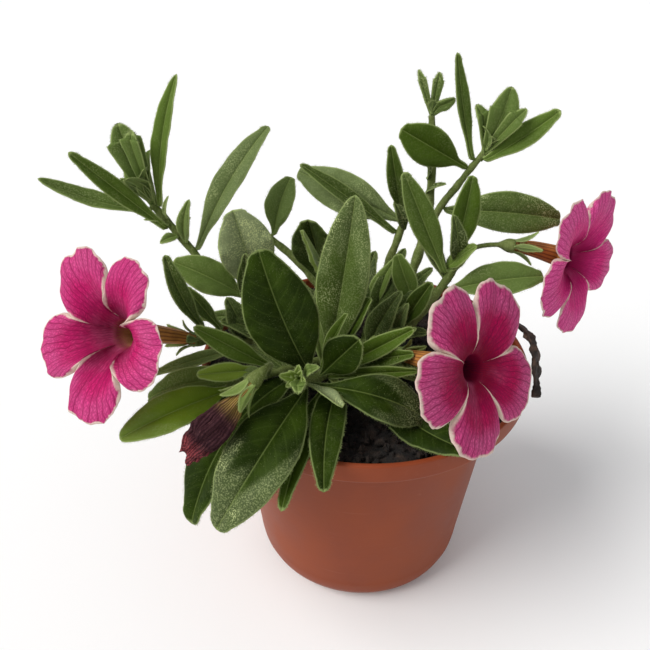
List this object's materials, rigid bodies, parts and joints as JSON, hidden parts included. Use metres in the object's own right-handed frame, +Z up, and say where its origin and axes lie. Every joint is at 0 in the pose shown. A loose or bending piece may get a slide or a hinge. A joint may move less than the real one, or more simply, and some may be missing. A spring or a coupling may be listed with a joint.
{
  "type": "potted petunia",
  "caption": "Young petunia in a round terracotta-coloured plastic pot: branching stems, hairy oval leaves and pink, white-edged trumpet flowers.",
  "frame": {"origin": "the middle of the pot's flat underside", "axes": "+Z up along the pot's axis; -Y towards the side that carries the lowest front leaves"},
  "size_m": [0.1918, 0.1155, 0.166],
  "materials": {
    "pot": "terracotta-coloured moulded plastic, satin",
    "soil": null,
    "stem": null,
    "leaf": null,
    "petal": null,
    "wilted": null,
    "withered": null
  },
  "bodies": {
    "root": {"pot": "pot", "soil": "soil", "stems": "stem", "leaf_front_upper": "leaf", "leaf_front_lower": "leaf", "leaf_front_oval": "leaf", "leaf_front_right": "leaf", "leaf_front_curled": "leaf", "leaf_over_rim": "leaf", "leaf_rim_left": "leaf", "leaf_left_hanging": "leaf", "leaf_tall": "leaf", "leaf_behind_edge": "leaf", "leaf_pair_small": "leaf", "leaf_pair_large": "leaf", "leaf_spray_upper": "leaf", "leaf_spray_middle": "leaf", "leaf_spray_lower": "leaf", "leaf_rim_right": "leaf", "leaf_dark_back": "leaf", "leaf_round_left": "leaf", "leaf_flat_left": "leaf", "leaf_left_long": "leaf", "leaf_left_small": "leaf", "leaf_left_light": "leaf", "leaf_left_upper": "leaf", "leaf_dark_long": "leaf", "leaf_dark_short": "leaf", "leaf_left_under": "leaf", "leaf_left_broad": "leaf", "leaf_shoot_left": "leaf", "leaf_shoot_side": "leaf", "leaf_shoot_upright": "leaf", "leaf_shoot_long": "leaf", "leaf_back_left": "leaf", "leaf_back_long": "leaf", "leaf_back_narrow": "leaf", "leaf_back_small": "leaf", "leaf_tall_back": "leaf", "leaf_right_long": "leaf", "leaf_right_upright": "leaf", "leaf_right_back": "leaf", "leaf_right_flat": "leaf", "leaf_right_front": "leaf", "leaf_crown_right": "leaf", "leaf_outer_right": "leaf", "leaf_outer_left": "leaf", "tuft_front": "leaf", "tuft_left": "leaf", "tuft_right_tall": "leaf", "tuft_right_outer": "leaf", "calyx_left": "stem", "corolla_left": "petal", "calyx_front": "stem", "corolla_front": "petal", "calyx_right": "stem", "corolla_right": "petal", "calyx_wilted": "stem", "corolla_wilted": "wilted", "leaf_withered": "withered"}
  },
  "joints": []
}
